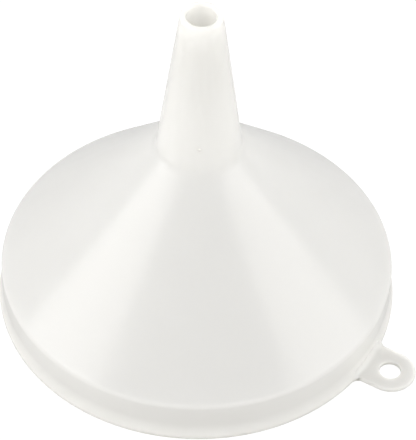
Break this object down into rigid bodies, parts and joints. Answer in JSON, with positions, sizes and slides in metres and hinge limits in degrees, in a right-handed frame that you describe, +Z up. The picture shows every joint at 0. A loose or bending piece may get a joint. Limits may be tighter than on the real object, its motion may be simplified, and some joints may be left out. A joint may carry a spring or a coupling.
{
  "type": "canning funnel",
  "caption": "Round plastic filling funnel with an upright mouth band and flared lip, a conical bowl, a long tapered spout and a flat hanging tab with a round hole.",
  "frame": {"origin": "on the ground, under the middle of the whole outline with the tab included; the funnel's axis stands at X = -9.05 mm", "axes": "+Z up along the funnel's axis from the mouth to the spout's tip, +X from the axis along the hanging tab"},
  "size_m": [0.1681, 0.15, 0.1376],
  "materials": {
    "milky_plastic": "satin milky white moulded plastic, slightly translucent"
  },
  "bodies": {
    "root": {"spout": "milky_plastic", "cone": "milky_plastic", "rim_band": "milky_plastic", "rim_lip": "milky_plastic", "hang_tab": "milky_plastic"}
  },
  "joints": []
}
